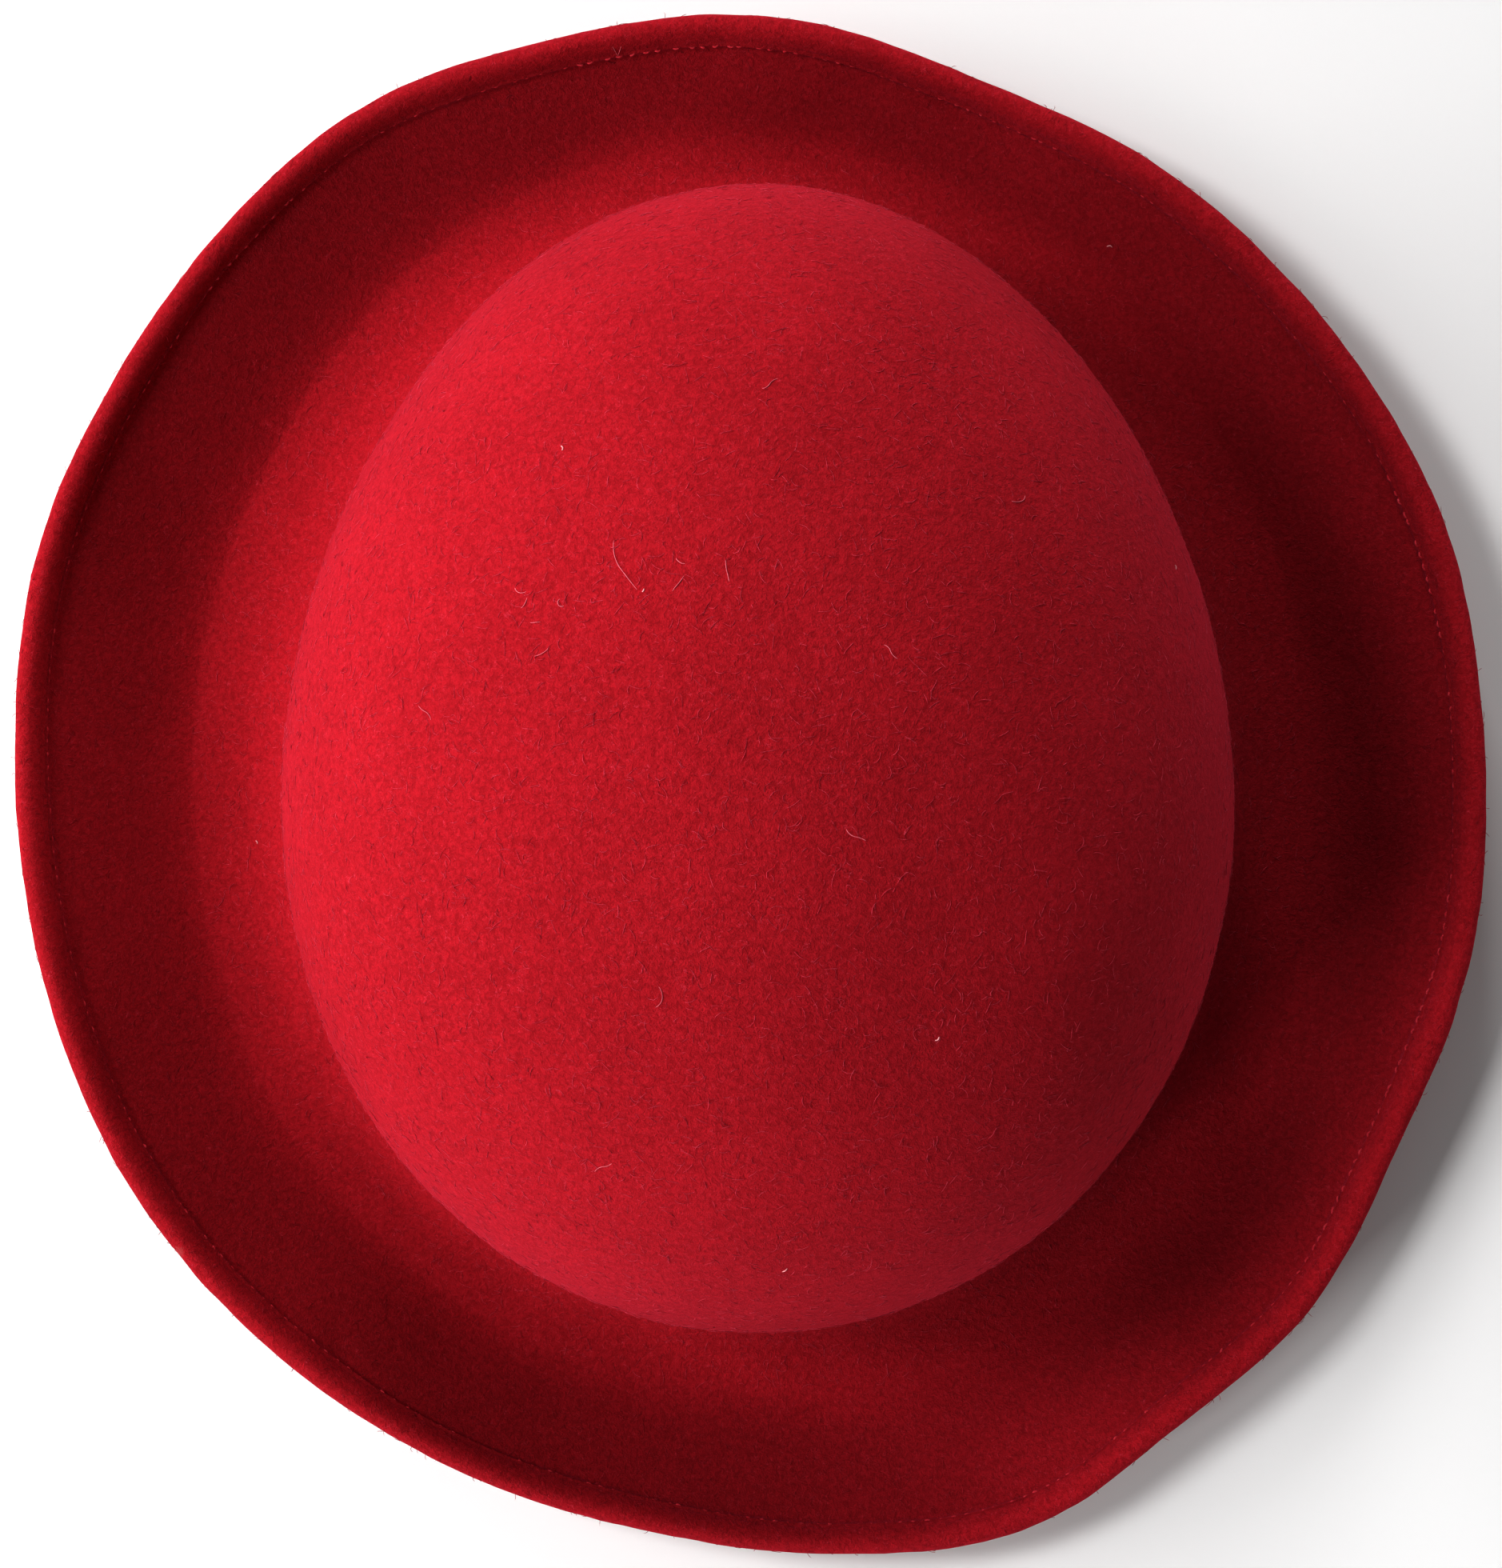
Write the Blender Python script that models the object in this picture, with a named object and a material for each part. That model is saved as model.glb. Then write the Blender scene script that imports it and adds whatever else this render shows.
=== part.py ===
"""Wool felt hat: a round crown and a brim that is turned up all round.

One hood of wool felt is pulled over a block, which gives it the crown and the brim in one piece.
The cut edge is then folded over onto the top of the brim as a narrow hem. So the hat is a single
closed solid: the block's surface, the felt's thickness over it, and a second thickness at the hem.

Units are metres. +Z is up and +Y is the front of the hat. It stands on a flat ring of the brim's
underside, round the head opening, at z = 0, and is centred on the z axis.
"""
import math

import bmesh
import bpy
import numpy as np

# Felt
FELT = 0.0020            # thickness of the blocked felt

# Head opening, measured inside: a girth of about 567 mm, for a medium head
HEAD_WIDTH = 0.1624
HEAD_LENGTH = 0.1974
FRONT_TAPER = 0.065      # how much narrower the front end of the opening is, as a share

# Crown, measured inside
CROWN_DEPTH = 0.115      # from the plane that the hat stands on to the top
CROWN_FULLNESS = 2.8     # power of the crown's curve: 2 is half a ball, more has upright walls
DENT_DEPTH = 0.0016      # how far the deepest soft dent in the crown goes in

# Brim, measured in plan from the head opening to the fold at its edge
BRIM_SIDE = 0.0514
BRIM_FRONT = 0.0370
BRIM_BACK = 0.0456
BRIM_LIFT = 0.0160       # how far the edge is turned up above the plane that the hat stands on
BRIM_CURL = 1.25         # power of the brim's rise: 1 is straight, more curls up at the edge
REST_RING = 0.0025       # width of the flat ring that the hat stands on

# Flare, the soft bend from the crown's wall down to the ring that the hat stands on
FLARE_SHARE = 0.42       # how much of the brim's width it takes
FLARE_HEIGHT = 0.0180    # where it leaves the crown's wall
FLARE_OUT = 1.6          # powers of its curve: outwards, more keeps it longer near the wall
FLARE_DOWN = 2.2         # and downwards, more brings it sooner to the ring's level

# Hem
HEM_WIDTH = 0.0033       # in plan, from the felt's cut edge to the fold, on the underside
HEM_SHOULDER = 0.0007    # how far the cut edge is rounded

# Waves of the brim's edge. Angles are in degrees from +X towards +Y. Reach is a share of the
# brim's width there, and lift is a share of BRIM_LIFT.
WAVE_COLUMNS = ("angle", "reach", "lift")
BRIM_WAVES = (
    (0, 0.98, 1.00),
    (20, 1.01, 0.98),
    (40, 0.99, 1.00),
    (56, 0.96, 0.98),
    (72, 0.90, 0.88),
    (90, 1.00, 0.74),
    (106, 1.06, 0.74),
    (122, 1.17, 0.78),
    (135, 1.15, 0.88),
    (148, 1.11, 0.98),
    (162, 1.09, 1.02),
    (180, 1.03, 1.04),
    (200, 1.00, 1.10),
    (215, 0.99, 1.06),
    (232, 0.95, 1.06),
    (250, 0.93, 1.00),
    (262, 0.94, 0.90),
    (275, 1.02, 0.76),
    (290, 1.11, 0.66),
    (303, 1.03, 0.80),
    (315, 1.04, 0.84),
    (328, 0.97, 1.00),
    (346, 0.99, 1.00),
)

# Soft dents of the crown. Aside and forward place the middle, as shares of half the head's width
# and length. Width and length say how far it spreads, as shares of the same, and depth is a share
# of DENT_DEPTH.
DENT_COLUMNS = ("aside", "forward", "width", "length", "depth")
CROWN_DENTS = (
    (0.33, -0.24, 0.22, 0.34, 1.00),
    (0.10, 0.18, 0.16, 0.30, 0.35),
    (0.42, 0.52, 0.24, 0.22, 0.45),
)

# Fineness of the mesh
SEGMENTS = 72
CROWN_RINGS = 15
FLARE_RINGS = 6
RISE_RINGS = 5
FOLD_STEPS = 5

FELT_RED = (0.45, 0.012, 0.026, 1.0)
FELT_ROUGHNESS = 0.95
SHARP_ANGLE = math.radians(50)


def clear_scene():
    for thing in list(bpy.data.objects):
        bpy.data.objects.remove(thing, do_unlink=True)


def felt_material():
    """Dyed wool felt, dull and slightly downy."""
    material = bpy.data.materials.new("red_felt")
    material.use_nodes = True
    shader = material.node_tree.nodes["Principled BSDF"]
    shader.inputs["Base Color"].default_value = FELT_RED
    shader.inputs["Roughness"].default_value = FELT_ROUGHNESS
    shader.inputs["Metallic"].default_value = 0.0
    return material


def wave_share(turn, column):
    """A column of BRIM_WAVES at the angles turn, on a smooth closed curve through its rows."""
    angles = np.radians([row[0] for row in BRIM_WAVES])
    values = np.array([row[WAVE_COLUMNS.index(column)] for row in BRIM_WAVES])
    # Three turns of the table, so that the curve runs on past both ends of the middle one
    full = 2 * math.pi
    angles = np.concatenate((angles - full, angles, angles + full))
    values = np.tile(values, 3)
    slopes = np.gradient(values, angles)
    low = np.searchsorted(angles, turn, side="right") - 1
    span = angles[low + 1] - angles[low]
    part = (turn - angles[low]) / span
    return (
        values[low] * (1 + 2 * part) * (1 - part) ** 2
        + slopes[low] * span * part * (1 - part) ** 2
        + values[low + 1] * part ** 2 * (3 - 2 * part)
        + slopes[low + 1] * span * part ** 2 * (part - 1)
    )


def head_reach(turn):
    """From the crown's axis to the inside of the head opening, an egg narrower in front."""
    half_width = HEAD_WIDTH / 2 * (1 - FRONT_TAPER * np.sin(turn))
    half_length = HEAD_LENGTH / 2
    return 1 / np.hypot(np.cos(turn) / half_width, np.sin(turn) / half_length)


def brim_width(turn):
    """From the head opening to the fold, in plan, with the edge's waves."""
    end = np.where(np.sin(turn) > 0, BRIM_FRONT, BRIM_BACK)
    plain = BRIM_SIDE * np.cos(turn) ** 2 + end * np.sin(turn) ** 2
    return plain * wave_share(turn, "reach")


def block_rings(turn):
    """The block that the felt lies on: (reach, height) of each ring, from the top to the edge.

    Also gives the number of the ring where the hem's cut edge lies.
    """
    head = head_reach(turn)
    level = np.zeros_like(turn)
    rings = []
    for step in range(1, CROWN_RINGS + 1):
        swing = math.pi / 2 * step / CROWN_RINGS
        out = math.sin(swing)
        up = math.cos(swing) ** (2 / CROWN_FULLNESS)
        rings.append((head * out, level + FLARE_HEIGHT + (CROWN_DEPTH - FLARE_HEIGHT) * up))
    brim = brim_width(turn)
    foot = FLARE_SHARE * brim
    for step in range(1, FLARE_RINGS + 1):
        share = step / FLARE_RINGS
        height = FLARE_HEIGHT * (1 - share) ** FLARE_DOWN
        rings.append((head + foot * share ** FLARE_OUT, level + height))
    flat_end = foot + REST_RING
    rings.append((head + flat_end, level))

    run = brim - flat_end
    lift = BRIM_LIFT * wave_share(turn, "lift")
    stops = [(run - HEM_WIDTH) * step / RISE_RINGS for step in range(1, RISE_RINGS + 1)]
    cut_edge = len(rings) + RISE_RINGS - 1
    stops += [run - HEM_WIDTH + HEM_SHOULDER, run - HEM_WIDTH / 2, run]
    for stop in stops:
        rings.append((head + flat_end + stop, lift * (stop / run) ** BRIM_CURL))
    return rings, cut_edge


def dent_depth(points):
    """How far the soft dents push each point in."""
    aside = points[..., 0] / (HEAD_WIDTH / 2)
    forward = points[..., 1] / (HEAD_LENGTH / 2)
    depth = np.zeros_like(aside)
    for row in CROWN_DENTS:
        dent = dict(zip(DENT_COLUMNS, row))
        spread = ((aside - dent["aside"]) / dent["width"]) ** 2
        spread += ((forward - dent["forward"]) / dent["length"]) ** 2
        depth += DENT_DEPTH * dent["depth"] * np.exp(-spread)
    return depth


def surface_normals(rings):
    """Unit normals on the felt's outer side, for rings of points whose first is at the pole."""
    along = np.gradient(rings, axis=0)
    around = np.roll(rings, -1, axis=1) - np.roll(rings, 1, axis=1)
    around[0] = around[1]
    normals = np.cross(along, around)
    return normals / np.linalg.norm(normals, axis=2, keepdims=True)


def felt_layers():
    """Closed skin of the hat as rings, from the pole inside the crown to the pole outside."""
    turn = np.linspace(0, 2 * math.pi, SEGMENTS, endpoint=False)
    rings, cut_edge = block_rings(turn)
    block = np.array([
        np.stack((reach * np.cos(turn), reach * np.sin(turn), height), axis=1)
        for reach, height in rings
    ])
    pole = np.tile((0.0, 0.0, CROWN_DEPTH), (1, SEGMENTS, 1))
    block = np.concatenate((pole, block))
    cut_edge += 1

    crown = block[:CROWN_RINGS + 1]
    crown -= surface_normals(block)[:CROWN_RINGS + 1] * dent_depth(crown)[..., None]
    block[0] = block[0].mean(axis=0)
    normal = surface_normals(block)
    normal[0] = (0.0, 0.0, 1.0)

    edge_out = block[-1] - block[-2]
    edge_out /= np.linalg.norm(edge_out, axis=1, keepdims=True)
    fold_middle = block[-1] + FELT * normal[-1]
    skin = list(block)
    for step in range(1, FOLD_STEPS):
        swing = math.pi * step / FOLD_STEPS
        skin.append(fold_middle + FELT * (math.sin(swing) * edge_out - math.cos(swing) * normal[-1]))
    for ring in range(len(block) - 1, cut_edge, -1):
        skin.append(block[ring] + 2 * FELT * normal[ring])
    cut_top = 2 * FELT - HEM_SHOULDER
    skin.append(block[cut_edge] + cut_top * normal[cut_edge])
    for ring in range(cut_edge, -1, -1):
        skin.append(block[ring] + FELT * normal[ring])
    return skin


def centred(skin):
    """The skin moved along X and Y so that the middle of its box is on the z axis."""
    points = np.concatenate(skin)
    middle = (points.min(axis=0) + points.max(axis=0)) / 2
    middle[2] = 0.0
    return [ring - middle for ring in skin]


def crown_and_brim():
    """Crown, brim and turned hem as one closed mesh."""
    skin = centred(felt_layers())
    mesh = bmesh.new()
    inner_pole = mesh.verts.new(skin[0][0])
    outer_pole = mesh.verts.new(skin[-1][0])
    rings = [[mesh.verts.new(point) for point in ring] for ring in skin[1:-1]]
    for side in range(SEGMENTS):
        nxt = (side + 1) % SEGMENTS
        mesh.faces.new((inner_pole, rings[0][side], rings[0][nxt]))
        mesh.faces.new((outer_pole, rings[-1][nxt], rings[-1][side]))
        for near, far in zip(rings, rings[1:]):
            mesh.faces.new((near[side], far[side], far[nxt], near[nxt]))
    bmesh.ops.recalc_face_normals(mesh, faces=mesh.faces)

    data = bpy.data.meshes.new("crown_and_brim")
    mesh.to_mesh(data)
    mesh.free()
    data.shade_smooth()
    data.set_sharp_from_angle(angle=SHARP_ANGLE)
    data.materials.append(felt_material())
    hat = bpy.data.objects.new("crown_and_brim", data)
    bpy.context.scene.collection.objects.link(hat)


clear_scene()
crown_and_brim()
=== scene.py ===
"""Looks of the red wool felt hat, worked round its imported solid."""
import math

import bpy
import numpy as np
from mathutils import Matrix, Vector, noise
from mathutils.bvhtree import BVHTree


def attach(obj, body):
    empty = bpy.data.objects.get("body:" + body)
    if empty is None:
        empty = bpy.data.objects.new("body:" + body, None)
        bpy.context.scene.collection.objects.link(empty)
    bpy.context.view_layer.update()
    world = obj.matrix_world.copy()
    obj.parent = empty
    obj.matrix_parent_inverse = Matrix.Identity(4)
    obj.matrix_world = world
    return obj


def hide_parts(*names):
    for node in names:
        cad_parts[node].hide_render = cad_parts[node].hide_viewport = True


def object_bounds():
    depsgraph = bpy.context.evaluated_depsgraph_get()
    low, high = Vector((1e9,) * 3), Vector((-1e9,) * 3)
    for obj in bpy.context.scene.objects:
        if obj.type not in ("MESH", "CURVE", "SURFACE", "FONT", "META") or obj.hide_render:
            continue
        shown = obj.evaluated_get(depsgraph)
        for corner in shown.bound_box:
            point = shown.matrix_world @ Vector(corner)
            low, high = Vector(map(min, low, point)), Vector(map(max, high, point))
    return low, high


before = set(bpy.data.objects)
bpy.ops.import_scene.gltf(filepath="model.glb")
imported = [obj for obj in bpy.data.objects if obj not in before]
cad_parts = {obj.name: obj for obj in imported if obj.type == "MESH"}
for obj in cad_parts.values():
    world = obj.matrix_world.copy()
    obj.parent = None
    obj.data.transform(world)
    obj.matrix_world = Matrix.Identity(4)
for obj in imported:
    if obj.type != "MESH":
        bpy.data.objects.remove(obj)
SOLID_BOX = [list(corner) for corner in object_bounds()]


# Camera
# The hat is seen from straight above, crown up, with the front of the hat at the top of the
# picture. The lens is a short tele, so the crown's top looks only a little nearer than the brim.
CAMERA_HEIGHT = 0.574
LENS_MM = 70.2
SENSOR_MM = 36.0
NEAREST = 0.01
FARTHEST = 20.0
PHOTO_GAMMA = 0.77       # the contrast that the photo's camera gives

camera = bpy.data.objects.new("camera", bpy.data.cameras.new("camera"))
bpy.context.scene.collection.objects.link(camera)
camera.location = (0.0, 0.0, CAMERA_HEIGHT)
camera.data.lens = LENS_MM
camera.data.sensor_width = SENSOR_MM
camera.data.clip_start = NEAREST
camera.data.clip_end = FARTHEST
bpy.context.scene.camera = camera
bpy.context.scene.view_settings.view_transform = "Standard"
bpy.context.scene.view_settings.gamma = PHOTO_GAMMA


# Felt body
# One hood of dyed wool felt, steamed and pulled over a block, so crown and brim are one piece. The
# brim is turned up all round. Its cut edge is folded over onto the top as a soft, padded hem.
FELT = 0.0020
HEAD_WIDTH = 0.1624
HEAD_LENGTH = 0.1974
FRONT_TAPER = 0.065
CROWN_DEPTH = SOLID_BOX[1][2] - FELT
CROWN_FULLNESS = 2.8
DENT_DEPTH = 0.0016
BRIM_SIDE = 0.0514
BRIM_FRONT = 0.0370
BRIM_BACK = 0.0456
BRIM_LIFT = 0.0160
BRIM_CURL = 1.25
FLARE_SHARE = 0.42
FLARE_HEIGHT = 0.0180
FLARE_OUT = 1.6
FLARE_DOWN = 2.2
REST_RING = 0.0025
HEM_WIDTH = 0.0033
SEAM_STEP = 0.0003       # the stitches pull the hem's cut edge down to this much over the brim
CUT_ROUNDING = 0.0007
SOFT_WAVE = 0.00022      # how far steam and handling have left the felt uneven
EDGE_WAVER = 0.00013     # and how far the hem's fold wavers

# Swells and ripples that this leaves in a metre along X, Y and Z. The fold's slow drift is the same
# at every height, and is read off its noise at DRIFT_LEVEL.
BROAD_SWELLS = (45, 45, 30)
FINE_SWELLS = (120, 120, 80)
FINE_SHARE = 0.5
FOLD_RIPPLES = (230, 230, 230)
FOLD_DRIFTS = (90, 90, 0)
DRIFT_LEVEL = (0, 0, 7)

# A soft crease in the brim, lower left in the picture: its middle, half width, half length and
# depth in metres, and the way it runs in degrees from +X towards +Y
CREASE_PLACE = (-0.0752, -0.1035)
CREASE_WIDE = 0.0020
CREASE_LONG = 0.0048
CREASE_DEPTH = 0.0008
CREASE_BEARING = 115

PAINTED_BRIM_SHADE = 0.64     # painted shade: colour of the brim beside that of the crown, darker to stand in for the shade on the turned-up brim
BRIM_SHADE_START = 6        # rings above the flare's foot where the painted shade begins
BRIM_SHADE_RINGS = 20       # and rings over which it comes in

# The brim's waves: at each angle, in degrees from +X towards +Y, how wide the brim is and how high
# its fold stands, as shares of the plain brim's width and of BRIM_LIFT
WAVE_COLUMNS = ("angle", "reach", "lift")
BRIM_WAVES = (
    (0, 0.98, 1.00),
    (20, 1.01, 0.98),
    (40, 0.99, 1.00),
    (56, 0.96, 0.98),
    (72, 0.90, 0.88),
    (90, 1.00, 0.74),
    (106, 1.06, 0.74),
    (122, 1.17, 0.78),
    (135, 1.15, 0.88),
    (148, 1.11, 0.98),
    (162, 1.09, 1.02),
    (180, 1.03, 1.04),
    (200, 1.00, 1.10),
    (215, 0.99, 1.06),
    (232, 0.95, 1.06),
    (250, 0.93, 1.00),
    (262, 0.94, 0.90),
    (275, 1.02, 0.76),
    (290, 1.11, 0.66),
    (303, 1.03, 0.80),
    (315, 1.04, 0.84),
    (328, 0.97, 1.00),
    (346, 0.99, 1.00),
)

# Shallow dents in the crown. Aside and width are shares of the head's half width, forward and length
# of its half length, and depth of DENT_DEPTH.
DENT_COLUMNS = ("aside", "forward", "width", "length", "depth")
CROWN_DENTS = (
    (0.33, -0.24, 0.22, 0.34, 1.00),
    (0.10, 0.18, 0.16, 0.30, 0.35),
    (0.42, 0.52, 0.24, 0.22, 0.45),
)

# Blemishes of the felt: a pale rubbed place on the fold, lower left in the picture, and a dark
# speck on the brim at the left. Place and radius are in millimetres, and share is how much shows.
# A cloud takes up to SPOT_RAGGED radii off the edge, which fades out from 1 to SPOT_FADE radii.
SPOT_COLUMNS = ("aside", "forward", "radius", "share", "colour")
FELT_SPOTS = (
    (-103.6, -84.9, 1.5, 0.90, (0.360, 0.050, 0.055)),
    (-114.4, 9.4, 0.3, 0.60, (0.120, 0.003, 0.006)),
)
SPOT_RAGGED = 10 / 7
SPOT_FADE = 5 / 3

SEGMENTS = 400
CROWN_RINGS = 48
FLARE_RINGS = 12
REST_RINGS = 3
RISE_RINGS = 24
HEM_RINGS = 7
FOLD_STEPS = 9
CUT_STEPS = 4


def shares(count):
    """Equal steps along a stretch, from 1 / count to 1."""
    return np.linspace(0, 1, count + 1)[1:]


def wave_share(turn, column):
    """A column of BRIM_WAVES at the angles turn, on a smooth closed curve through its rows."""
    angles = np.radians([row[0] for row in BRIM_WAVES])
    values = np.array([row[WAVE_COLUMNS.index(column)] for row in BRIM_WAVES])
    full = 2 * math.pi
    angles = np.concatenate((angles - full, angles, angles + full))
    values = np.tile(values, 3)
    slopes = np.gradient(values, angles)
    low = np.searchsorted(angles, turn, side="right") - 1
    span = angles[low + 1] - angles[low]
    part = (turn - angles[low]) / span
    return (
        values[low] * (1 + 2 * part) * (1 - part) ** 2
        + slopes[low] * span * part * (1 - part) ** 2
        + values[low + 1] * part ** 2 * (3 - 2 * part)
        + slopes[low + 1] * span * part ** 2 * (part - 1)
    )


def head_reach(turn):
    half_width = HEAD_WIDTH / 2 * (1 - FRONT_TAPER * np.sin(turn))
    return 1 / np.hypot(np.cos(turn) / half_width, np.sin(turn) / (HEAD_LENGTH / 2))


def brim_width(turn):
    end = np.where(np.sin(turn) > 0, BRIM_FRONT, BRIM_BACK)
    plain = BRIM_SIDE * np.cos(turn) ** 2 + end * np.sin(turn) ** 2
    return plain * wave_share(turn, "reach")


def block_rings(turn):
    """Rings of the block under the felt, from the crown's top to the fold, and the seam's ring."""
    head = head_reach(turn)
    level = np.zeros_like(turn)
    rings = []
    for swing in math.pi / 2 * shares(CROWN_RINGS):
        up = abs(math.cos(swing)) ** (2 / CROWN_FULLNESS)
        height = FLARE_HEIGHT + (CROWN_DEPTH - FLARE_HEIGHT) * up
        rings.append((head * math.sin(swing), level + height))
    brim = brim_width(turn)
    foot = FLARE_SHARE * brim
    for share in shares(FLARE_RINGS):
        height = FLARE_HEIGHT * (1 - share) ** FLARE_DOWN
        rings.append((head + foot * share ** FLARE_OUT, level + height))
    for share in shares(REST_RINGS):
        rings.append((head + foot + REST_RING * share, level))
    flat_end = foot + REST_RING
    run = brim - flat_end
    lift = BRIM_LIFT * wave_share(turn, "lift")
    stops = [(run - HEM_WIDTH) * share for share in shares(RISE_RINGS)]
    seam = len(rings) + len(stops) - 1
    stops += [run - HEM_WIDTH * (1 - share) for share in shares(HEM_RINGS)]
    for stop in stops:
        rings.append((head + flat_end + stop, lift * (stop / run) ** BRIM_CURL))
    return rings, seam


def dent_depth(points):
    aside = points[..., 0] / (HEAD_WIDTH / 2)
    forward = points[..., 1] / (HEAD_LENGTH / 2)
    depth = np.zeros_like(aside)
    for row in CROWN_DENTS:
        dent = dict(zip(DENT_COLUMNS, row))
        spread = ((aside - dent["aside"]) / dent["width"]) ** 2
        spread += ((forward - dent["forward"]) / dent["length"]) ** 2
        depth += DENT_DEPTH * dent["depth"] * np.exp(-spread)
    return depth


def skin_normals(rings):
    along = np.gradient(rings, axis=0)
    around = np.roll(rings, -1, axis=1) - np.roll(rings, 1, axis=1)
    around[0] = around[1]
    around[-1] = around[-2]
    normals = np.cross(along, around)
    return normals / np.linalg.norm(normals, axis=2, keepdims=True)


def hem_padding(across):
    """Height of the hem's top over the block, from its cut edge (0) to the fold (1)."""
    return FELT + SEAM_STEP + (FELT - SEAM_STEP) * math.sin(math.pi / 2 * across)


def felt_skin():
    """The hat's whole skin as a grid of points, and the number of each stretch's first ring."""
    turn = np.linspace(0, 2 * math.pi, SEGMENTS, endpoint=False)
    rings, seam = block_rings(turn)
    block = np.array([
        np.stack((reach * np.cos(turn), reach * np.sin(turn), height), axis=1)
        for reach, height in rings
    ])
    block = np.concatenate((np.tile((0.0, 0.0, CROWN_DEPTH), (1, SEGMENTS, 1)), block))
    seam += 1
    crown = block[:CROWN_RINGS + 1]
    crown -= skin_normals(block)[:CROWN_RINGS + 1] * dent_depth(crown)[..., None]
    block[0] = block[0].mean(axis=0)
    normal = skin_normals(block)
    normal[0] = (0.0, 0.0, 1.0)

    edge_out = block[-1] - block[-2]
    edge_out /= np.linalg.norm(edge_out, axis=1, keepdims=True)
    fold_middle = block[-1] + FELT * normal[-1]
    skin = list(block)
    marks = {"fold": len(skin)}
    for step in range(1, FOLD_STEPS):
        swing = math.pi * step / FOLD_STEPS
        lean = math.sin(swing) * edge_out - math.cos(swing) * normal[-1]
        skin.append(fold_middle + FELT * lean)
    marks["hem"] = len(skin)
    for ring in range(len(block) - 1, seam, -1):
        skin.append(block[ring] + hem_padding((ring - seam) / HEM_RINGS) * normal[ring])
    marks["seam"] = len(skin)
    for swing in math.pi / 2 * shares(CUT_STEPS):
        from_cut = CUT_ROUNDING * (1 - math.sin(swing))
        padding = hem_padding(CUT_ROUNDING / HEM_WIDTH) - CUT_ROUNDING * (1 - math.cos(swing))
        skin.append(block[seam] + from_cut * edge_out + padding * normal[seam])
    marks["brim"] = len(skin)
    for ring in range(seam - 1, -1, -1):
        if ring == CROWN_RINGS + FLARE_RINGS:
            marks["crown"] = len(skin)
        skin.append(block[ring] + FELT * normal[ring])
    return np.array(skin), marks


def soften(skin, marks):
    """Leaves the felt gently uneven and the fold wavering, but nothing under the floor."""
    normal = skin_normals(skin)
    for ring in range(1, len(skin) - 1):
        from_fold = abs(ring - (marks["fold"] + marks["hem"]) / 2)
        waver = EDGE_WAVER * math.exp(-(from_fold / (FOLD_STEPS + HEM_RINGS)) ** 2)
        for side in range(SEGMENTS):
            spot = skin[ring, side]
            swell = noise.noise(spot * BROAD_SWELLS) + FINE_SHARE * noise.noise(spot * FINE_SWELLS)
            ripple = noise.noise(spot * FOLD_RIPPLES) + noise.noise(spot * FOLD_DRIFTS + DRIFT_LEVEL)
            skin[ring, side] += (SOFT_WAVE * swell + waver * ripple) * normal[ring, side]
    skin[..., 2] = np.maximum(skin[..., 2], 0.0)
    return skin


def crease(skin):
    """Presses the crease into the brim's felt, both of its faces alike."""
    run = math.radians(CREASE_BEARING)
    aside = skin[..., 0] - CREASE_PLACE[0]
    forward = skin[..., 1] - CREASE_PLACE[1]
    along = (aside * math.cos(run) + forward * math.sin(run)) / CREASE_LONG
    across = (forward * math.cos(run) - aside * math.sin(run)) / CREASE_WIDE
    skin[..., 2] -= CREASE_DEPTH * np.exp(-along ** 2 - across ** 2)
    return skin


def painted_shade_share(marks):
    """How much painted shade each ring takes: none on the crown, all on the brim, less at the fold.
    """
    flare_foot = CROWN_RINGS + FLARE_RINGS
    under = np.arange(marks["fold"]) - flare_foot + BRIM_SHADE_START
    upper_rings = np.arange(marks["brim"], marks["crown"] + flare_foot + 1)
    over = marks["crown"] - upper_rings + BRIM_SHADE_START
    hem = BRIM_SHADE_RINGS * np.linspace(0, 1, marks["brim"] - marks["fold"])
    return np.clip(np.concatenate((under, hem, over)) / BRIM_SHADE_RINGS, 0, 1)


def closed_skin_mesh(name, skin):
    """A closed mesh from rings of points whose first and last ring are single points."""
    rows, sides = skin.shape[0] - 2, skin.shape[1]
    verts = np.concatenate((skin[0, :1], skin[1:-1].reshape(-1, 3), skin[-1, :1]))
    last = len(verts) - 1
    side = np.arange(sides)
    onward = (side + 1) % sides
    faces = [(0, 1 + a, 1 + b) for a, b in zip(onward, side)]
    for row in range(rows - 1):
        near, far = 1 + row * sides, 1 + (row + 1) * sides
        faces += [(near + a, near + b, far + b, far + a) for a, b in zip(side, onward)]
    final = 1 + (rows - 1) * sides
    faces += [(last, final + a, final + b) for a, b in zip(side, onward)]
    mesh = bpy.data.meshes.new(name)
    mesh.from_pydata(verts.tolist(), [], [tuple(int(v) for v in face) for face in faces])
    mesh.shade_smooth()
    return mesh


def plain_node(tree, kind, **settings):
    node = tree.nodes.new(kind)
    for key, value in settings.items():
        setattr(node, key, value)
    return node


def cloudy(tree, place, scale, detail, roughness, distortion):
    """A noise over the felt; its features are about 1 / scale metres across."""
    node = plain_node(tree, "ShaderNodeTexNoise")
    for name, value in (
        ("Scale", scale), ("Detail", detail), ("Roughness", roughness), ("Distortion", distortion),
    ):
        node.inputs[name].default_value = value
    tree.links.new(place, node.inputs["Vector"])
    return node.outputs["Fac"]


def ramp(tree, value, low, high, start, stop):
    """Value from low to high turned into start to stop, held at both ends."""
    node = plain_node(tree, "ShaderNodeMapRange", interpolation_type="SMOOTHSTEP")
    for name, number in (
        ("From Min", low), ("From Max", high), ("To Min", start), ("To Max", stop),
    ):
        node.inputs[name].default_value = number
    tree.links.new(value, node.inputs["Value"])
    return node.outputs["Result"]


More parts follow.
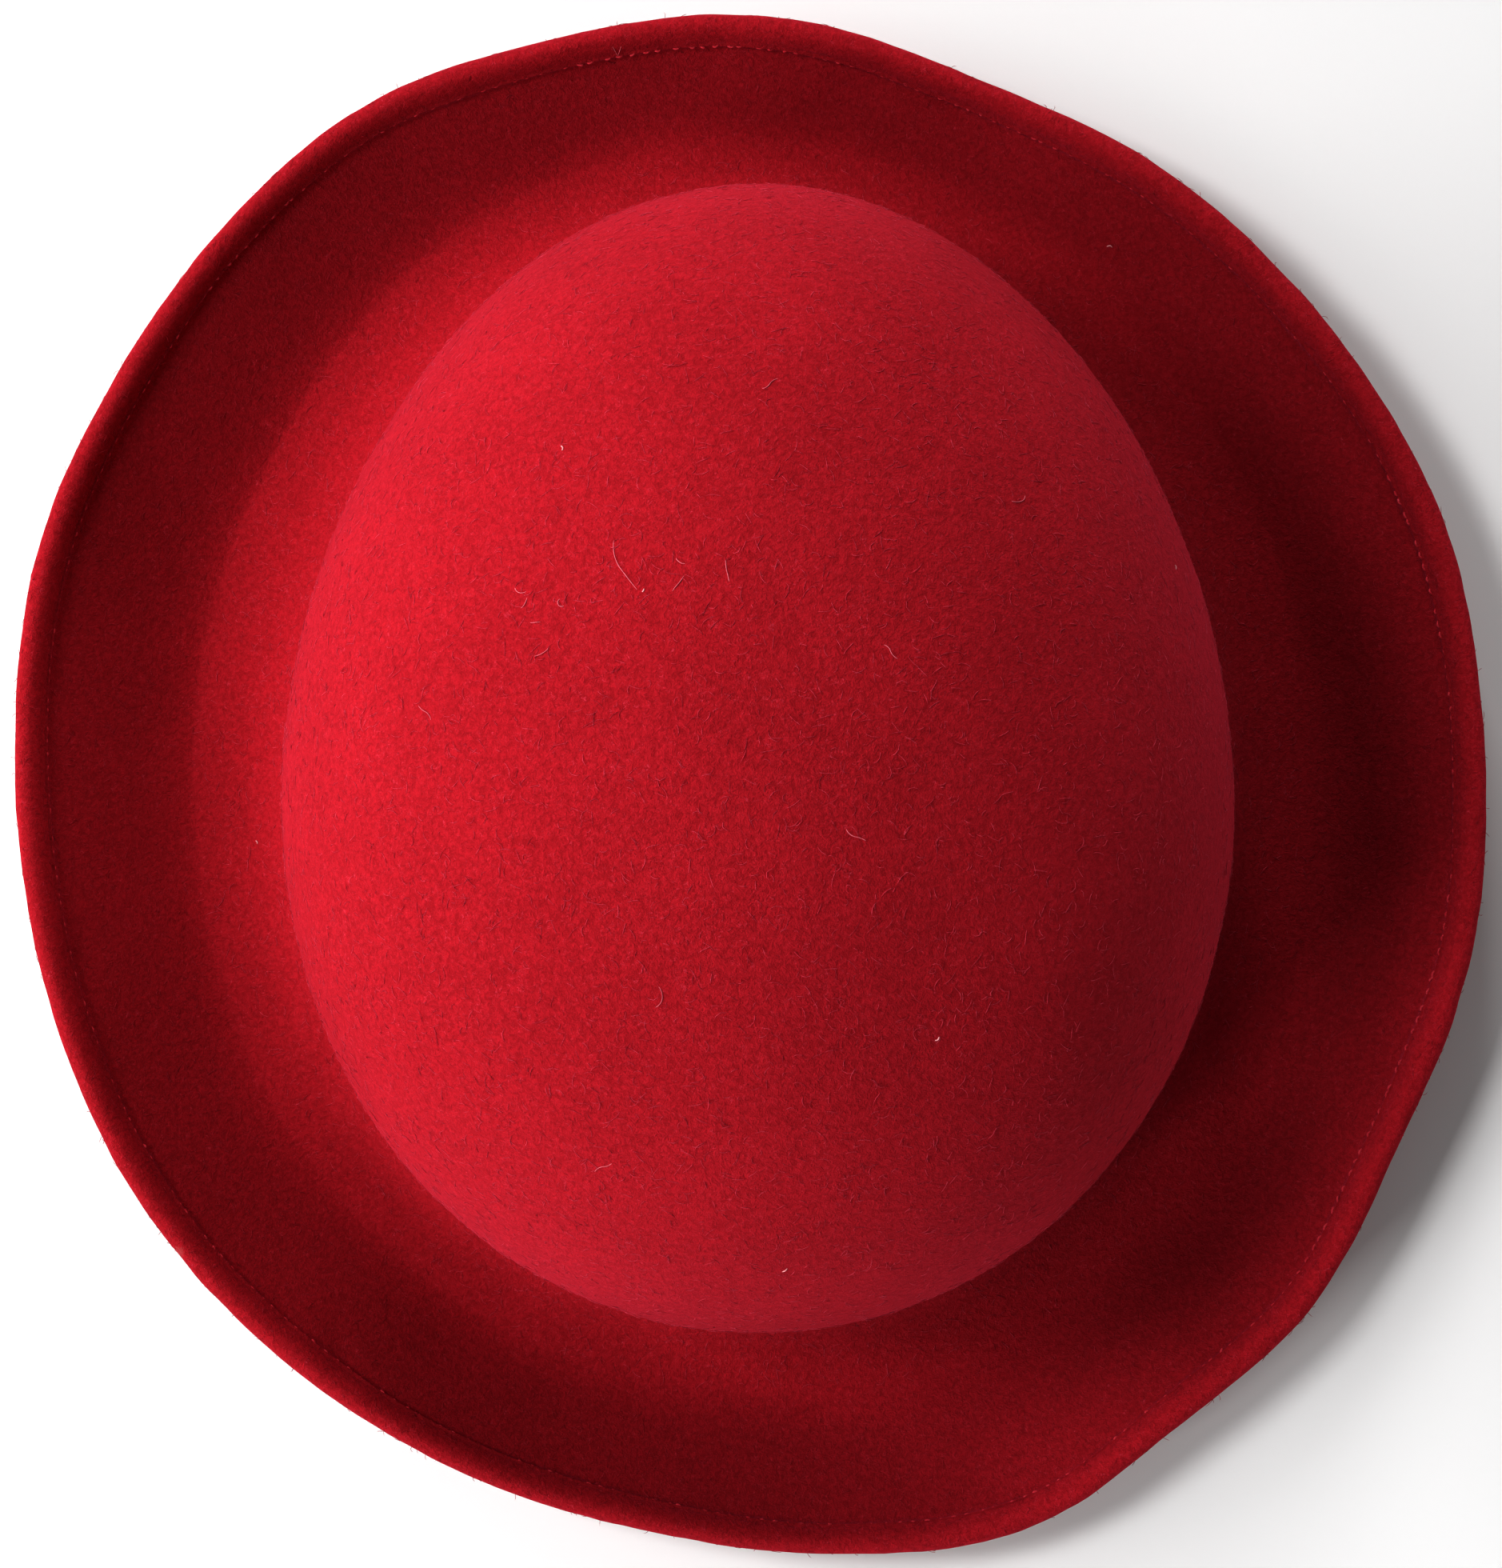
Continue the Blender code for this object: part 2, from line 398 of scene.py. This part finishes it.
def maths(tree, operation, first, second):
    node = plain_node(tree, "ShaderNodeMath", operation=operation)
    for socket, given in zip(node.inputs, (first, second)):
        if isinstance(given, (int, float)):
            socket.default_value = given
        else:
            tree.links.new(given, socket)
    return node.outputs["Value"]


def colour_mix(tree, share, first, second):
    node = plain_node(tree, "ShaderNodeMix", data_type="RGBA")
    tree.links.new(share, node.inputs["Factor"])
    tree.links.new(first, node.inputs[6])
    tree.links.new(second, node.inputs[7])
    return node.outputs[2]


# Clouds over the felt, each as its features in a metre, detail, roughness and distortion
CLUMPS = (960.0, 4.0, 0.68, 0.6)
TUFTS = (2300.0, 2.0, 0.7, 1.0)
DYE_CLOUDS = (42.0, 2.0, 0.5, 0.0)
RAGGED_EDGE = (900.0, 3.0, 0.7, 1.0)
CLUMP_SHARE = 0.62
TUFT_SHARE = 0.38
DYE_SHARE = 0.12
TONE_RANGE = (0.36, 0.64)

# Two sorts of curled hair in the felt's face, each as its curls in a metre, detail, distortion and
# half width. They show in the patches where a cloud is between the two values of HAIR_PATCHES.
FACE_HAIRS = ((430.0, 1.5, 2.2, 0.012), (760.0, 1.0, 1.4, 0.016))
FACE_HAIR_ROUGHNESS = 0.5
PATCH_FINENESS = 1.3
HAIR_PATCHES = (0.52, 0.62)
HAIR_SHOWS = 0.75


def face_hairs(tree, place, scale, detail, distortion, half_width):
    """Thin curled lines where a swirling cloud passes its middle, shown in patches only."""
    swirls = cloudy(tree, place, scale, detail, FACE_HAIR_ROUGHNESS, distortion)
    off_middle = maths(tree, "ABSOLUTE", maths(tree, "SUBTRACT", swirls, 0.5), 0.0)
    line = ramp(tree, off_middle, 0.0, half_width, 1.0, 0.0)
    patches = cloudy(tree, place, scale * PATCH_FINENESS, 1.0, 0.5, 0.0)
    return maths(tree, "MULTIPLY", line, ramp(tree, patches, *HAIR_PATCHES, 0.0, HAIR_SHOWS))


def felt_grain_group():
    """Felted wool: clumps and tufts of matted fibre, clouded dye, and fine curled hairs."""
    group = bpy.data.node_groups.new("felt_grain", "ShaderNodeTree")
    face = group.interface
    for name in ("Deep", "Fresh", "Hair"):
        face.new_socket(name, in_out="INPUT", socket_type="NodeSocketColor")
    face.new_socket("Colour", in_out="OUTPUT", socket_type="NodeSocketColor")
    face.new_socket("Height", in_out="OUTPUT", socket_type="NodeSocketFloat")
    enter = plain_node(group, "NodeGroupInput")
    leave = plain_node(group, "NodeGroupOutput")
    place = plain_node(group, "ShaderNodeTexCoord").outputs["Object"]

    clumps = maths(group, "MULTIPLY", cloudy(group, place, *CLUMPS), CLUMP_SHARE)
    tufts = maths(group, "MULTIPLY", cloudy(group, place, *TUFTS), TUFT_SHARE)
    matted = maths(group, "ADD", clumps, tufts)
    dye = maths(group, "SUBTRACT", cloudy(group, place, *DYE_CLOUDS), 0.5)
    clouded = maths(group, "ADD", matted, maths(group, "MULTIPLY", dye, DYE_SHARE))
    tone = ramp(group, clouded, *TONE_RANGE, 0.0, 1.0)
    hairs = maths(group, "MAXIMUM", *(face_hairs(group, place, *row) for row in FACE_HAIRS))
    dyed = colour_mix(group, tone, enter.outputs["Deep"], enter.outputs["Fresh"])
    haired = colour_mix(group, hairs, dyed, enter.outputs["Hair"])

    # Painted shade: the colour of the brim and the hem is scaled down by their painted shade share,
    # standing in for the shade on the turned-up brim, while the crown keeps its colour
    painted_shade = plain_node(group, "ShaderNodeAttribute", attribute_name="painted_shade").outputs["Fac"]
    darker = plain_node(group, "ShaderNodeVectorMath", operation="SCALE")
    group.links.new(haired, darker.inputs["Vector"])
    group.links.new(ramp(group, painted_shade, 0.0, 1.0, 1.0, PAINTED_BRIM_SHADE), darker.inputs["Scale"])
    group.links.new(darker.outputs["Vector"], leave.inputs["Colour"])
    group.links.new(matted, leave.inputs["Height"])
    return group


FELT_GRAIN = felt_grain_group()
WOOL_ROUGHNESS = 0.95
WOOL_SPECULAR = 0.03
BLOOM_ROUGHNESS = 0.38
BLOOM_TINT = (1.0, 0.14, 0.31, 1.0)


def wool_material(name, deep, fresh, hair, sheen, relief):
    """Dull dyed wool, with a soft pale bloom where it is seen or lit along its nap."""
    material = bpy.data.materials.new(name)
    material.use_nodes = True
    tree = material.node_tree
    shader = tree.nodes["Principled BSDF"]
    shader.inputs["Roughness"].default_value = WOOL_ROUGHNESS
    shader.inputs["Specular IOR Level"].default_value = WOOL_SPECULAR
    shader.inputs["Sheen Weight"].default_value = sheen
    shader.inputs["Sheen Roughness"].default_value = BLOOM_ROUGHNESS
    shader.inputs["Sheen Tint"].default_value = BLOOM_TINT
    grain = plain_node(tree, "ShaderNodeGroup")
    grain.node_tree = FELT_GRAIN
    grain.inputs["Deep"].default_value = deep
    grain.inputs["Fresh"].default_value = fresh
    grain.inputs["Hair"].default_value = hair
    tree.links.new(grain.outputs["Colour"], shader.inputs["Base Color"])
    bump = plain_node(tree, "ShaderNodeBump")
    bump.inputs["Distance"].default_value = relief
    tree.links.new(grain.outputs["Height"], bump.inputs["Height"])
    tree.links.new(bump.outputs["Normal"], shader.inputs["Normal"])
    return material


def add_spot(material, spot):
    """A small blemish with a ragged edge, mixed over the colour that the material has."""
    radius = spot["radius"] / 1000
    tree = material.node_tree
    shader = tree.nodes["Principled BSDF"]
    under = shader.inputs["Base Color"].links[0].from_socket
    place = plain_node(tree, "ShaderNodeTexCoord").outputs["Object"]
    flat = plain_node(tree, "ShaderNodeVectorMath", operation="MULTIPLY")
    flat.inputs[1].default_value = (1.0, 1.0, 0.0)
    tree.links.new(place, flat.inputs[0])
    away = plain_node(tree, "ShaderNodeVectorMath", operation="DISTANCE")
    away.inputs[1].default_value = (spot["aside"] / 1000, spot["forward"] / 1000, 0.0)
    tree.links.new(flat.outputs["Vector"], away.inputs[0])
    ragged = maths(tree, "MULTIPLY", cloudy(tree, place, *RAGGED_EDGE), radius * SPOT_RAGGED)
    edge = maths(tree, "ADD", away.outputs["Value"], ragged)
    share = ramp(tree, edge, radius, radius * SPOT_FADE, spot["share"], 0.0)
    colour = plain_node(tree, "ShaderNodeRGB")
    colour.outputs[0].default_value = spot["colour"] + (1.0,)
    tree.links.new(colour_mix(tree, share, under, colour.outputs[0]), shader.inputs["Base Color"])


hat_skin, hat_marks = felt_skin()
hat_skin = soften(hat_skin, hat_marks)
hat_middle = (hat_skin.min(axis=(0, 1)) + hat_skin.max(axis=(0, 1))) / 2
hat_skin[..., :2] -= hat_middle[:2]
hat_skin = crease(hat_skin)
hat_outward = -skin_normals(hat_skin)

felt_body = bpy.data.objects.new("felt_body", closed_skin_mesh("felt_body", hat_skin))
bpy.context.scene.collection.objects.link(felt_body)
# Painted shade share of each point of the felt, read by the felt's colour
ring_painted_shade = painted_shade_share(hat_marks)
round_rings = np.repeat(ring_painted_shade[1:-1], SEGMENTS)
point_painted_shade = np.concatenate((ring_painted_shade[:1], round_rings, ring_painted_shade[-1:]))
felt_body.data.attributes.new("painted_shade", "FLOAT", "POINT").data.foreach_set("value", point_painted_shade)
red_felt = wool_material(
    "red_felt",
    deep=(0.310, 0.0110, 0.0185, 1.0),
    fresh=(0.445, 0.0170, 0.0300, 1.0),
    hair=(0.560, 0.0480, 0.0820, 1.0),
    sheen=0.16,
    relief=0.0005,
)
for row in FELT_SPOTS:
    add_spot(red_felt, dict(zip(SPOT_COLUMNS, row)))
felt_body.data.materials.append(red_felt)
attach(felt_body, "root")
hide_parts("crown_and_brim")


# Crown nap
# Ends of wool that stand out of the felt, short and curled. Each starts in the felt and lies nearly
# flat, and many dive back into it. They are a little paler than the matted wool under them.
CROWN_NAP = 10800
CROWN_NAP_LENGTH = (0.0009, 0.0034)
NAP_THICKNESS = 0.00009
CROWN_NAP_RISE = (0.00002, 0.00019)
NAP_ROOT = 0.00006       # how deep an end starts in the felt
NAP_CURL = 1.5           # radians that a hair turns over its length, commonly
NAP_ARCH = (0.55, 1.0)   # part of a whole arch that it makes: at 1 its end dives back into the felt
NAP_POINTS = 5
NAP_SIDES = 3
NAP_SEED = 11

STEEP_FELT = 0.9         # beyond this share of upright a direction is measured from +X
STEEP_STRAND = 0.8


def scatter_on_felt(dice, count, first, last):
    """Random places on the skin between two of its rings, with the felt's outward normal there."""
    near, far = hat_skin[first:last], hat_skin[first + 1:last + 1]
    near_next, far_next = np.roll(near, -1, axis=1), np.roll(far, -1, axis=1)
    area = np.linalg.norm(np.cross(far_next - near, far - near_next), axis=2).ravel()
    row, side = np.divmod(dice.choice(area.size, size=count, p=area / area.sum()), SEGMENTS)
    row += first
    onward = (side + 1) % SEGMENTS
    up, aside = dice.random((2, count, 1))

    def blend(grid):
        low = grid[row, side] * (1 - aside) + grid[row, onward] * aside
        high = grid[row + 1, side] * (1 - aside) + grid[row + 1, onward] * aside
        return low * (1 - up) + high * up

    outward = blend(hat_outward)
    return blend(hat_skin), outward / np.linalg.norm(outward, axis=1, keepdims=True)


def square_to(direction, steep):
    """Unit vectors square to each direction, level unless it is steep."""
    guide = np.where(np.abs(direction[..., 2:]) > steep, (1.0, 0.0, 0.0), (0.0, 0.0, 1.0))
    square = np.cross(guide, direction)
    return square / np.linalg.norm(square, axis=-1, keepdims=True)


def curled_lines(dice, roots, outward, length, rise):
    """Lines that start in the felt at each root, curl over it, and dive back or end just above."""
    count = len(roots)
    east = square_to(outward, STEEP_FELT)
    north = np.cross(outward, east)
    reach = dice.uniform(*length, count)
    peak = dice.uniform(*rise, count)
    arch = dice.uniform(*NAP_ARCH, count)
    bearing = dice.uniform(0, 2 * math.pi, count)
    bend = dice.normal(0, NAP_CURL, count)
    recurve = dice.normal(0, NAP_CURL / 2, count)
    lines = [roots - NAP_ROOT * outward]
    spot = np.zeros((count, 2))
    strides = NAP_POINTS - 1
    for step in range(1, NAP_POINTS):
        share = (step - 0.5) / strides
        heading = bearing + bend * share + recurve * share ** 2
        spot += (reach / strides)[:, None] * np.stack((np.cos(heading), np.sin(heading)), axis=1)
        height = (peak + NAP_ROOT) * np.sin(math.pi * arch * step / strides) - NAP_ROOT
        lines.append(roots + spot[:, :1] * east + spot[:, 1:] * north + height[:, None] * outward)
    return np.stack(lines, axis=1)


def strand_mesh(name, lines, thickness, sides):
    """Joined closed strands, pointed at both ends, along lines of as many points each."""
    count, points = lines.shape[:2]
    along = np.gradient(lines, axis=1)
    along /= np.linalg.norm(along, axis=2, keepdims=True)
    aside = -square_to(along, STEEP_STRAND)
    above = np.cross(aside, along)
    around = []
    for side in range(sides):
        turn = 2 * math.pi * side / sides
        offset = thickness / 2 * (math.cos(turn) * aside + math.sin(turn) * above)
        around.append((lines + offset)[:, 1:-1])
    rings = np.stack(around, axis=2).reshape(count, -1, 3)
    verts = np.concatenate((lines[:, :1], rings, lines[:, -1:]), axis=1)
    per_strand = verts.shape[1]

    pattern = []
    last = 1 + (points - 3) * sides
    for side in range(sides):
        onward = (side + 1) % sides
        pattern.append((0, 1 + onward, 1 + side))
        pattern.append((per_strand - 1, last + side, last + onward))
        for ring in range(points - 3):
            near, far = 1 + ring * sides, 1 + (ring + 1) * sides
            pattern.append((near + side, near + onward, far + onward, far + side))
    faces = [
        tuple(start + corner for corner in face)
        for start in range(0, count * per_strand, per_strand)
        for face in pattern
    ]
    mesh = bpy.data.meshes.new(name)
    mesh.from_pydata(verts.reshape(-1, 3).tolist(), [], faces)
    mesh.shade_smooth()
    return mesh


def put_on_felt(name, mesh, material):
    piece = bpy.data.objects.new(name, mesh)
    bpy.context.scene.collection.objects.link(piece)
    mesh.materials.append(material)
    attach(piece, "root")


nap_wool = wool_material(
    "nap_wool",
    deep=(0.420, 0.026, 0.048, 1.0),
    fresh=(0.600, 0.082, 0.130, 1.0),
    hair=(0.680, 0.130, 0.190, 1.0),
    sheen=0.10,
    relief=0.0001,
)
dice = np.random.default_rng(NAP_SEED)
roots, outward = scatter_on_felt(dice, CROWN_NAP, hat_marks["crown"], len(hat_skin) - 1)
lines = curled_lines(dice, roots, outward, CROWN_NAP_LENGTH, CROWN_NAP_RISE)
put_on_felt("crown_nap", strand_mesh("crown_nap", lines, NAP_THICKNESS, NAP_SIDES), nap_wool)


# Brim nap
# The brim has been pressed and handled more than the crown, so its hairs are shorter and sparser, on
# its upper side, its underside and over the fold of the hem alike. Their wool is coloured darker as
# painted shade, to go with the painted shade on the brim.
BRIM_NAP = 7800
BRIM_NAP_LENGTH = (0.0008, 0.0026)
BRIM_NAP_RISE = (0.00001, 0.00018)

roots, outward = scatter_on_felt(dice, BRIM_NAP, CROWN_RINGS + 1, hat_marks["crown"])
lines = curled_lines(dice, roots, outward, BRIM_NAP_LENGTH, BRIM_NAP_RISE)
lines[..., 2] = np.maximum(lines[..., 2], NAP_THICKNESS)  # none pokes into what the hat stands on
# Painted shade: a darker copy of the nap's wool for the hairs on the shaded brim
shaded_brim_nap = wool_material(
    "shaded_brim_nap",
    deep=(0.270, 0.013, 0.021, 1.0),
    fresh=(0.370, 0.028, 0.044, 1.0),
    hair=(0.420, 0.046, 0.068, 1.0),
    sheen=0.10,
    relief=0.0001,
)
put_on_felt("brim_nap", strand_mesh("brim_nap", lines, NAP_THICKNESS, NAP_SIDES), shaded_brim_nap)


# Hem stitches
# The hem's cut edge is caught down from inside with a matching thread. Each stitch shows as a
# short dash of thread and pulled wool on the edge, and stands out more in some stretches.
STITCH_PITCH = 0.00255
STITCH_LENGTH = 0.0017
STITCH_THICKNESS = 0.00042
STITCH_SUNK = 0.00016    # how deep a well pulled stitch lies
STITCH_PROUD = 0.00010   # how far one stands out in some stretches of the hem
STITCH_STRETCHES = ((88, 101), (9, 24), (318, 350))  # in degrees round the hem from +X
STITCH_DIVE = 0.0005     # how far its ends dive under its middle
STITCH_SLANT = 0.00024   # how far they lie off the line of the seam, commonly
STITCH_POINTS = 7
STITCH_SIDES = 6

# How uneven the sewing is: drift in pitches, and the shares of length and of depth that vary
STITCH_DRIFT = 0.15
STITCH_LENGTHS = (0.75, 1.15)
STITCH_DEPTHS = (0.3, 1.2)

edge_ring = hat_marks["seam"] + 1
edge_line, edge_outward = hat_skin[edge_ring], hat_outward[edge_ring]
edge_strides = np.linalg.norm(np.roll(edge_line, -1, axis=0) - edge_line, axis=1)
travelled = np.concatenate(((0.0,), np.cumsum(edge_strides)))


def on_cut_edge(travel):
    """The place at a distance along the hem's cut edge, and the felt's outward normal there."""
    travel %= travelled[-1]
    at = np.searchsorted(travelled, travel, side="right") - 1
    part = (travel - travelled[at]) / edge_strides[at]
    onward = (at + 1) % SEGMENTS
    spot = edge_line[at] * (1 - part) + edge_line[onward] * part
    return spot, edge_outward[at] * (1 - part) + edge_outward[onward] * part


def stitch_line(middle, reach, stand, slant):
    """One stitch as a line of points, its middle at the height stand and its ends in the felt."""
    line = []
    for share in np.linspace(-1, 1, STITCH_POINTS):
        spot, out = on_cut_edge(middle + reach * share / 2)
        inward = np.array((-spot[0], -spot[1], 0.0)) / math.hypot(spot[0], spot[1])
        height = stand - STITCH_DIVE * share ** 2
        line.append(spot + out * height + inward * slant * share)
    return line


stitch_count = round(travelled[-1] / STITCH_PITCH)
lines = []
for number in range(stitch_count):
    middle = travelled[-1] * (number + STITCH_DRIFT * dice.normal()) / stitch_count
    reach = STITCH_LENGTH * dice.uniform(*STITCH_LENGTHS)
    turn_deg = math.degrees(2 * math.pi * number / stitch_count)
    shows = any(first <= turn_deg <= last for first, last in STITCH_STRETCHES)
    stand = STITCH_PROUD if shows else -STITCH_SUNK * dice.uniform(*STITCH_DEPTHS)
    slant = dice.normal(0, STITCH_SLANT)
    lines.append(stitch_line(middle, reach, stand, slant))
hem_thread = wool_material(
    "hem_thread",
    deep=(0.380, 0.018, 0.030, 1.0),
    fresh=(0.520, 0.050, 0.072, 1.0),
    hair=(0.600, 0.100, 0.130, 1.0),
    sheen=0.10,
    relief=0.0002,
)
stitches = strand_mesh("hem_stitches", np.array(lines), STITCH_THICKNESS, STITCH_SIDES)
put_on_felt("hem_stitches", stitches, hem_thread)


# Loose hairs and lint
# A few longer hairs of the wool lie curled on the felt, each tucked in at its ends, and between
# them lie some short, thick and paler specks of lint.
HAIR_THICKNESS = 0.00013
HAIR_CLEARANCE = 0.00012
HAIR_POINTS = 13
HAIR_SIDES = 5
LINT_THICKNESS = 0.00022
LINT_POINTS = 7
LINT_SIDES = 6
LAID_ARCH = 2.2          # rise from a hair's tucked ends to its middle, in clearances
ABOVE_THE_HAT = 1.0

# Aside and forward are where each starts, from the hat's middle, and length is along it, all in
# millimetres. Bearing is where it sets out, in degrees from +X towards +Y, and early and late are
# how far it then turns in its first and second half.
HAIR_COLUMNS = ("aside", "forward", "length", "bearing", "early", "late")
LOOSE_HAIRS = (
    (-20.7, 37.8, 10.4, -101, 48, 2),
    (-10.0, 31.6, 3.4, -118, -14, 10),
    (-33.8, 24.6, 1.9, -4, 12, -18),
    (-33.2, 19.4, 3.2, 8, 22, 34),
    (-36.2, 30.2, 2.6, -80, 70, 60),
    (-34.2, 28.6, 2.2, -100, -20, -30),
    (-28.9, 28.2, 2.4, -160, 110, 120),
    (-11.4, 34.2, 2.0, -62, 30, 50),
    (-3.8, 34.0, 3.9, -92, 16, -6),
    (-25.4, 135.1, 1.5, -60, 10, 0),
    (-24.6, 133.8, 1.7, 50, 12, 6),
    (14.2, -6.5, 4.2, -70, 60, -30),
    (22.4, 18.8, 3.6, 160, -50, 70),
    (-14.8, -34.0, 4.4, 20, 70, 50),
    (-49.5, 9.6, 3.8, 95, 60, -40),
    (40.2, 44.0, 3.4, -20, 40, 90),
    (4.4, 62.5, 3.6, 190, 50, -80),
    (-24.6, -61.0, 3.8, 65, -60, 50),
)
LINT_SPECKS = (
    (-29.3, 51.5, 1.1, 40, 80, 60),
    (-16.5, 29.0, 0.7, 10, 60, 60),
    (67.1, 99.5, 1.3, 120, 60, 40),
    (-92.1, -11.3, 1.0, 80, 50, 70),
    (28.2, -39.3, 1.2, -30, 90, 40),
    (69.6, 35.1, 1.0, 60, 40, 80),
    (4.9, -78.2, 1.3, 15, 30, 40),
)

felt_tree = BVHTree.FromPolygons(
    [vertex.co for vertex in felt_body.data.vertices],
    [tuple(face.vertices) for face in felt_body.data.polygons],
)


def laid_lines(rows, clearance, points):
    """Each row's hair as a line of points laid on the felt from above, its ends tucked in."""
    lines = []
    for row in rows:
        hair = dict(zip(HAIR_COLUMNS, row))
        spot = Vector((hair["aside"], hair["forward"], 0.0)) / 1000
        stride = hair["length"] / 1000 / (points - 1)
        line = []
        for step in range(points):
            share = step / (points - 1)
            turned = hair["early"] * min(share * 2, 1) + hair["late"] * max(share * 2 - 1, 0)
            heading = math.radians(hair["bearing"] + turned)
            start = Vector((spot.x, spot.y, ABOVE_THE_HAT))
            felt = felt_tree.ray_cast(start, Vector((0.0, 0.0, -1.0)))[0]
            lift = clearance * (LAID_ARCH * math.sin(math.pi * share) - 1)
            line.append((spot.x, spot.y, felt.z + lift))
            spot += stride * Vector((math.cos(heading), math.sin(heading), 0.0))
        lines.append(line)
    return np.array(lines)


loose_wool = wool_material(
    "loose_wool",
    deep=(0.560, 0.110, 0.150, 1.0),
    fresh=(0.680, 0.190, 0.230, 1.0),
    hair=(0.740, 0.260, 0.300, 1.0),
    sheen=0.10,
    relief=0.0001,
)
lines = laid_lines(LOOSE_HAIRS, HAIR_CLEARANCE, HAIR_POINTS)
put_on_felt("loose_hairs", strand_mesh("loose_hairs", lines, HAIR_THICKNESS, HAIR_SIDES), loose_wool)

pale_lint = wool_material(
    "pale_lint",
    deep=(0.620, 0.240, 0.260, 1.0),
    fresh=(0.760, 0.380, 0.400, 1.0),
    hair=(0.820, 0.480, 0.500, 1.0),
    sheen=0.10,
    relief=0.0001,
)
lines = laid_lines(LINT_SPECKS, LINT_THICKNESS / 2, LINT_POINTS)
put_on_felt("lint", strand_mesh("lint", lines, LINT_THICKNESS, LINT_SIDES), pale_lint)


# Floor and light
# A plain pale floor. Two windows to the left are a wide low lamp and a smaller one further back,
# whose crossing shadows of the crown leave the dark wedge on the brim, lower right in the picture.
# A high lamp, three dim ones and the room's own light are what a pale room throws back.
FLOOR_SIZE = 6.0
FLOOR_COLOUR = (0.86, 0.86, 0.86, 1.0)
FLOOR_ROUGHNESS = 0.9
ROOM_COLOUR = (1.0, 1.0, 1.0, 1.0)
ROOM_STRENGTH = 0.190
LAMP_DISTANCE = 1.6

# Each lamp's name, azimuth from +X towards +Y and elevation in degrees, side in metres, and watts
LAMPS = (
    ("window", 172, 22, 1.00, 15.2),
    ("window_back", 219, 23, 0.40, 15.0),
    ("window_top", 160, 52, 0.40, 16.0),
    ("front_lamp", 98, 26, 0.40, 11.2),
    ("front_right_lamp", 60, 8, 0.40, 6.0),
    ("back_right_lamp", 300, 8, 0.40, 6.0),
)

floor_mesh = bpy.data.meshes.new("floor")
half = FLOOR_SIZE / 2
floor_corners = [(-half, -half, 0.0), (half, -half, 0.0), (half, half, 0.0), (-half, half, 0.0)]
floor_mesh.from_pydata(floor_corners, [], [(0, 1, 2, 3)])
floor = bpy.data.objects.new("floor", floor_mesh)
bpy.context.scene.collection.objects.link(floor)
floor_finish = bpy.data.materials.new("floor")
floor_finish.use_nodes = True
floor_shader = floor_finish.node_tree.nodes["Principled BSDF"]
floor_shader.inputs["Base Color"].default_value = FLOOR_COLOUR
floor_shader.inputs["Roughness"].default_value = FLOOR_ROUGHNESS
floor_mesh.materials.append(floor_finish)


def soft_lamp(name, azimuth, elevation, size, power):
    """A square lamp that looks at the hat's middle."""
    lamp = bpy.data.objects.new(name, bpy.data.lights.new(name, "AREA"))
    bpy.context.scene.collection.objects.link(lamp)
    turn, rise = math.radians(azimuth), math.radians(elevation)
    level = math.cos(rise)
    toward = Vector((math.cos(turn) * level, math.sin(turn) * level, math.sin(rise)))
    lamp.location = toward * LAMP_DISTANCE
    lamp.rotation_mode = "QUATERNION"
    lamp.rotation_quaternion = toward.to_track_quat("Z", "Y")
    lamp.data.size = size
    lamp.data.energy = power


for row in LAMPS:
    soft_lamp(*row)
room = bpy.data.worlds.new("room")
room.use_nodes = True
room.node_tree.nodes["Background"].inputs["Color"].default_value = ROOM_COLOUR
room.node_tree.nodes["Background"].inputs["Strength"].default_value = ROOM_STRENGTH
bpy.context.scene.world = room
